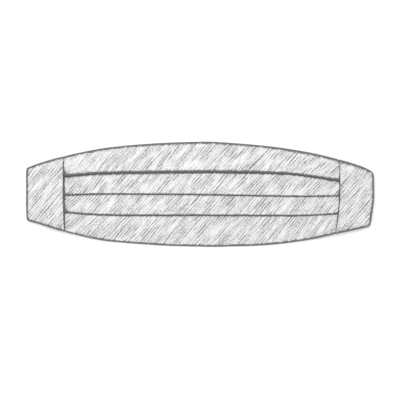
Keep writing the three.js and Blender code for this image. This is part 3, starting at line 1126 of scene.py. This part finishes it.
def silk(name, look, pitch, evenness, patches_at):
    """Slubbed silk cut on the bias. Its folds, edges and tab mouths carry lines of painted shade, with a
    painted shadow under each fold.
    """
    surface = Surface(name, sheen_weight=0.15, sheen_roughness=0.35)
    cloth = surface.add("ShaderNodeUVMap", uv_map=CLOTH_MAP)
    turn = {"Vector": cloth, "Axis": (0, 0, 1), "Angle": -look.slant}
    slanted = surface.add("ShaderNodeVectorRotate", turn)
    across = surface.add("ShaderNodeSeparateXYZ", {0: slanted}, output=1)

    # The slubs are waves of one pitch, which wander, crowd together and break off.
    bend = surface.noise(slanted, (16, 40, 1), 1.0, 0.5)
    crowd = surface.noise(slanted, (9, 150, 1), 1.0, 0.5, at=2.0)
    turns = surface.math("MULTIPLY_ADD", crowd, 1.2, surface.math("DIVIDE", across, pitch))
    turns = surface.math("MULTIPLY_ADD", bend, 1.6, turns)
    ridge = surface.math("SINE", surface.math("MULTIPLY", turns, 2 * math.pi))
    breaks = surface.noise(slanted, (1 / look.slub_length, 0.5 / pitch, 1), 2.0, 0.6, at=7.0)
    height = surface.math("MULTIPLY_ADD", surface.math("SUBTRACT", breaks, 0.5), look.breaks, ridge)
    strokes = surface.ramp(height, 0.3, 1.15)

    # Between them lie duller patches, with a grain of fibres all over.
    clouds = surface.noise(slanted, (45, 140, 1), 2.0, 0.6, at=patches_at)
    grain = surface.noise(slanted, (420, 520, 1), 2.0, 0.78, at=5.0)
    patches = surface.ramp(clouds, 0.33, 0.67, evenness, 1.0)
    fuzz = surface.ramp(grain, 0.35, 0.68)
    dark = surface.math("MULTIPLY", strokes, surface.ramp(breaks, 0.3, 0.62, evenness, 1.0))
    dark = surface.math("MULTIPLY", dark, surface.ramp(grain, 0.25, 0.6, 0.5, 1.0))
    dull = surface.math("MULTIPLY", patches, surface.math("MULTIPLY_ADD", fuzz, 0.8, 0.2))
    warp, weft = (surface.wave(slanted, axis, look.weave) for axis in (0, 1))
    weave = surface.math("MULTIPLY", warp, weft)
    tone = surface.math("MULTIPLY_ADD", dull, look.dullness, surface.math("MULTIPLY", weave, 0.1))
    body = surface.mix(tone, look.light, look.dark)
    threads = surface.mix(surface.math("MULTIPLY", dark, look.slub_strength), body, look.dark)

    # A line of painted shade is darkest over its inner half, and its rim is uneven.
    crease = surface.add("ShaderNodeAttribute", attribute_name=SHADE_LINE_DISTANCE, output=2)
    uneven = surface.ramp(surface.noise(cloth, (260, 260, 1), 3.0, 0.7), 0.3, 0.7, 0.7, 1.25)
    distance = surface.math("DIVIDE", crease, uneven)
    shaded = surface.ramp(distance, look.edge_width * 0.5, look.edge_width, 1.0, 0.0)
    surface.feed("Base Color", surface.mix(shaded, threads, look.pressed))
    surface.feed("Roughness", surface.ramp(dark, 0.0, 1.0, 0.5, 0.65))
    surface.bump((strokes, 0.1 * MM), (weave, 0.05 * MM))
    return surface.material


def webbing(name, look):
    """Woven webbing with ribs across it and lengthwise rows of warp."""
    surface = Surface(name, sheen_weight=0.3, sheen_roughness=0.5, roughness=0.85)
    place = surface.add("ShaderNodeTexCoord", output="Object")
    rib, row = surface.wave(place, 0, 1.1 * MM), surface.wave(place, 1, 1.5 * MM)
    uneven = surface.noise(place, (500, 900, 500), 3.0, 0.6)
    height = surface.math("MULTIPLY", rib, surface.math("MULTIPLY_ADD", row, 0.5, 0.5))
    # ribs lighter and the hollows between them darker as painted shade, mixed with tone that varies at random
    tone = surface.math("MULTIPLY_ADD", height, 0.6, surface.math("MULTIPLY", uneven, 0.4))
    surface.feed("Base Color", surface.mix(tone, look.webbing_dark, look.webbing_light))
    surface.bump((height, 0.25 * MM), (uneven, 0.05 * MM))
    return surface.material


def nickel(name, look):
    """Satin nickel plate, brushed along the bars, a little dulled by wear."""
    surface = Surface(name, metallic=1.0)
    place = surface.add("ShaderNodeTexCoord", output="Object")
    brushed = surface.noise(place, (5000, 160, 3000), 2.0, 0.6)
    dulled = surface.noise(place, (220, 180, 200), 3.0, 0.6, at=5.0)
    tone = surface.math("MULTIPLY_ADD", dulled, 0.4, surface.math("MULTIPLY", brushed, 0.6))
    surface.feed("Base Color", surface.mix(surface.ramp(tone, 0.3, 0.7), look.nickel_dark, look.nickel_light))
    rough = surface.math("MULTIPLY_ADD", brushed, 0.5, surface.math("MULTIPLY", dulled, 0.5))
    surface.feed("Roughness", surface.ramp(rough, 0.2, 0.8, 0.24, 0.42))
    surface.bump((brushed, 0.01 * MM))
    return surface.material


def thread(name, look):
    """Twisted silk thread."""
    surface = Surface(name, sheen_weight=0.2, roughness=0.5)
    place = surface.add("ShaderNodeTexCoord", output="Object")
    twist = surface.noise(place, (2500, 2500, 2500), 2.0, 0.6)
    surface.feed("Base Color", surface.mix(twist, look.dark, look.light))
    surface.bump((twist, 0.05 * MM))
    return surface.material


def paper(name, colour):
    """The pale floor, with a faint grain."""
    surface = Surface(name, roughness=0.9)
    place = surface.add("ShaderNodeTexCoord", output="Object")
    grain = surface.noise(place, (400, 400, 400), 3.0, 0.6)
    surface.feed("Base Color", surface.mix(grain, [part * 0.985 for part in colour], colour))
    return surface.material


def finished(piece, slot, *nodes):
    """Attaches a piece to the root body and hides the CAD nodes that it stands for. slot, its finish, is not
    used.
    """
    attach(piece, "root")
    if nodes:
        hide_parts(*nodes)
    return piece


def placed(name):
    """A piece that an earlier operator has made."""
    if name not in bpy.data.objects:
        raise RuntimeError(f"{name} has to be built first")
    return bpy.data.objects[name]


class CUMMERBUND_OT_pleated_front(bpy.types.Operator):
    """Fold one cloth over itself three times and close it behind"""

    bl_idname = "cummerbund.pleated_front"
    bl_label = "Pleated front"

    def execute(self, context):
        settings = context.scene.cummerbund
        plan, look = Plan(settings), settings.silk
        cloth = PleatedCloth(plan)
        material = silk("slubbed_silk", look, look.slub_pitch, look.evenness, patches_at=3.0)
        piece = finished(cloth.build("silk_front", material), "silk", "pleated_front")
        cloth.cut_size()
        cloth.cut_area()
        return {"FINISHED"}


class CUMMERBUND_OT_end_tabs(bpy.types.Operator):
    """Sew the two end pockets"""

    bl_idname = "cummerbund.end_tabs"
    bl_label = "End tabs"

    def execute(self, context):
        settings = context.scene.cummerbund
        plan, look = Plan(settings), settings.silk
        material = silk("slubbed_silk_tabs", look, look.tab_slub_pitch, look.tab_evenness, patches_at=11.0)
        cloth = PleatedCloth(plan)
        for side in SIDES:
            tab = EndTab(plan, cloth, side)
            piece = finished(tab.build("silk_tab_" + side, material), "silk", "end_tab_" + side)
            tab.cut_size()
            tab.cut_area()
        return {"FINISHED"}


class CUMMERBUND_OT_straps(bpy.types.Operator):
    """Lay the two halves of the strap"""

    bl_idname = "cummerbund.straps"
    bl_label = "Straps"

    def execute(self, context):
        settings = context.scene.cummerbund
        plan, strap = Plan(settings), settings.strap
        values = {
            "Width": strap_high.y - strap_low.y,
            "Thickness": strap.wall,
            "Edge": strap.edge,
            "Material": webbing("grey_webbing", settings.trim),
        }
        tree = webbing_tree()
        for side in SIDES:
            piece = along_paths("webbing_strap_" + side, [strap_path(plan, side)], tree, values)
            finished(piece, "webbing", "strap_" + side)
        return {"FINISHED"}


class CUMMERBUND_OT_slider(bpy.types.Operator):
    """Form the slider that joins the strap"""

    bl_idname = "cummerbund.slider"
    bl_label = "Slider"

    def execute(self, context):
        settings = context.scene.cummerbund
        mesh = slider_mesh("nickel_slider", settings.strap)
        mesh.materials.append(nickel("satin_nickel", settings.trim))
        finished(show("nickel_slider", mesh), "metal", "strap_slider")
        return {"FINISHED"}


class CUMMERBUND_OT_stitches(bpy.types.Operator):
    """Stitch the mouths of the tabs and the seam behind"""

    bl_idname = "cummerbund.stitches"
    bl_label = "Stitches"
    mouth_share = 0.96  # the share of a mouth that its row covers
    mouth_points = 60
    seam_points = 120
    sunk = 0.05  # the share of the thread's thickness that lies in the cloth
    beside_seam = 1 * MM  # how far above the seam the height of the cloth is taken
    seam_spacing = 2  # against the spacing at the mouths
    seam_turn = math.radians(70)  # of the stitches over the seam

    def execute(self, context):
        settings = context.scene.cummerbund
        plan, sizes = Plan(settings), settings.stitches
        front = placed("silk_front")
        values = {
            "Spacing": sizes.spacing,
            "Stitch": sizes.length,
            "Thread": sizes.thread,
            "Turn": 0.0,
            "Material": thread("silk_thread", settings.silk),
        }
        tree, sink = stitch_tree(), sizes.thread * self.sunk
        for side, way in SIDES.items():
            places = []
            for across in np.linspace(-self.mouth_share, self.mouth_share, self.mouth_points):
                x = plan.mouth[side](across) + way * sizes.inset
                places.append((x, lerp(plan.lower(x), plan.upper(x), (across + 1) / 2)))
            path = on_surface(placed("silk_tab_" + side), places, 1, sink)
            finished(along_paths("tab_stitches_" + side, [path], tree, values), "silk")
        start, end = plan.left_inner + plan.sash.pinch, plan.right_inner - plan.sash.pinch
        above = self.beside_seam - plan.sash.seam_depth
        places = [(x, plan.upper(x) + above) for x in np.linspace(start, end, self.seam_points)]
        down = self.beside_seam + PleatedCloth.seam_gap / 2
        seam = [(x, y - down, z) for x, y, z in on_surface(front, places, -1, sink)]
        values.update({"Spacing": sizes.spacing * self.seam_spacing, "Turn": self.seam_turn})
        finished(along_paths("seam_stitches", [seam], tree, values), "silk")
        return {"FINISHED"}


class CUMMERBUND_OT_stage(bpy.types.Operator):
    """Set the floor, the light and the camera"""

    bl_idname = "cummerbund.stage"
    bl_label = "Stage"
    reach = 2.0  # half the floor's side
    drop = 0.3 * MM  # how far the floor lies under the sash

    def execute(self, context):
        look, scene = context.scene.cummerbund.stage, context.scene
        mesh = bpy.data.meshes.new("floor")
        ways = ((-1, -1), (1, -1), (1, 1), (-1, 1))
        corners = [(x * self.reach, y * self.reach, -self.drop) for x, y in ways]
        mesh.from_pydata(corners, [], [(0, 1, 2, 3)])
        mesh.materials.append(paper("pale_paper", look.floor))
        show("floor", mesh)

        world = bpy.data.worlds.new("studio")
        world.use_nodes = True
        world.node_tree.nodes["Background"].inputs["Color"].default_value = (1, 1, 1, 1)
        world.node_tree.nodes["Background"].inputs["Strength"].default_value = look.fill
        scene.world = world

        key = bpy.data.lights.new("key", "AREA")
        key.shape, key.size, key.size_y = "RECTANGLE", look.key_size, look.key_size
        key.energy = look.key_power
        lamp = show("key", key)
        lamp.location = Vector(look.key_from)
        lamp.rotation_euler = (-lamp.location).to_track_quat("-Z", "Y").to_euler()

        data = bpy.data.cameras.new("camera")
        data.lens = look.lens
        camera = show("camera", data)
        distance = look.view_width * look.lens / data.sensor_width
        camera.location = (look.view_aside, -look.view_below, distance + sash_high.z / 2)
        scene.camera = camera
        scene.view_settings.view_transform = "Standard"
        return {"FINISHED"}


class CUMMERBUND_PT_panel(bpy.types.Panel):
    """The sash's operators and its sizes"""

    bl_idname = "CUMMERBUND_PT_panel"
    bl_label = "Cummerbund"
    bl_space_type = "VIEW_3D"
    bl_region_type = "UI"
    bl_category = "Cummerbund"

    def draw(self, context):
        for operator in OPERATORS:
            self.layout.operator(operator.bl_idname)
        settings = context.scene.cummerbund
        for group in settings.bl_rna.properties:
            if group.type == "POINTER" and group.identifier != "rna_type":
                box = self.layout.box()
                box.label(text=group.identifier.capitalize())
                part = getattr(settings, group.identifier)
                for value in part.bl_rna.properties:
                    if value.identifier not in ("rna_type", "name"):
                        box.prop(part, value.identifier)


SETTINGS = (SashSizes, TabSizes, StrapSizes, StitchSizes, SilkLook, TrimLook, StageLook, CummerbundSettings)
OPERATORS = (
    CUMMERBUND_OT_straps,
    CUMMERBUND_OT_slider,
    CUMMERBUND_OT_pleated_front,
    CUMMERBUND_OT_end_tabs,
    CUMMERBUND_OT_stitches,
    CUMMERBUND_OT_stage,
)


def register():
    for part in (*SETTINGS, *OPERATORS, CUMMERBUND_PT_panel):
        bpy.utils.register_class(part)
    bpy.types.Scene.cummerbund = PointerProperty(type=CummerbundSettings)


def unregister():
    del bpy.types.Scene.cummerbund
    for part in (CUMMERBUND_PT_panel, *reversed(OPERATORS), *reversed(SETTINGS)):
        bpy.utils.unregister_class(part)


def main():
    register()
    bpy.ops.cummerbund.straps()
    bpy.ops.cummerbund.slider()
    bpy.ops.cummerbund.pleated_front()
    bpy.ops.cummerbund.end_tabs()
    bpy.ops.cummerbund.stitches()
    bpy.ops.cummerbund.stage()


if __name__ == "__main__":
    main()
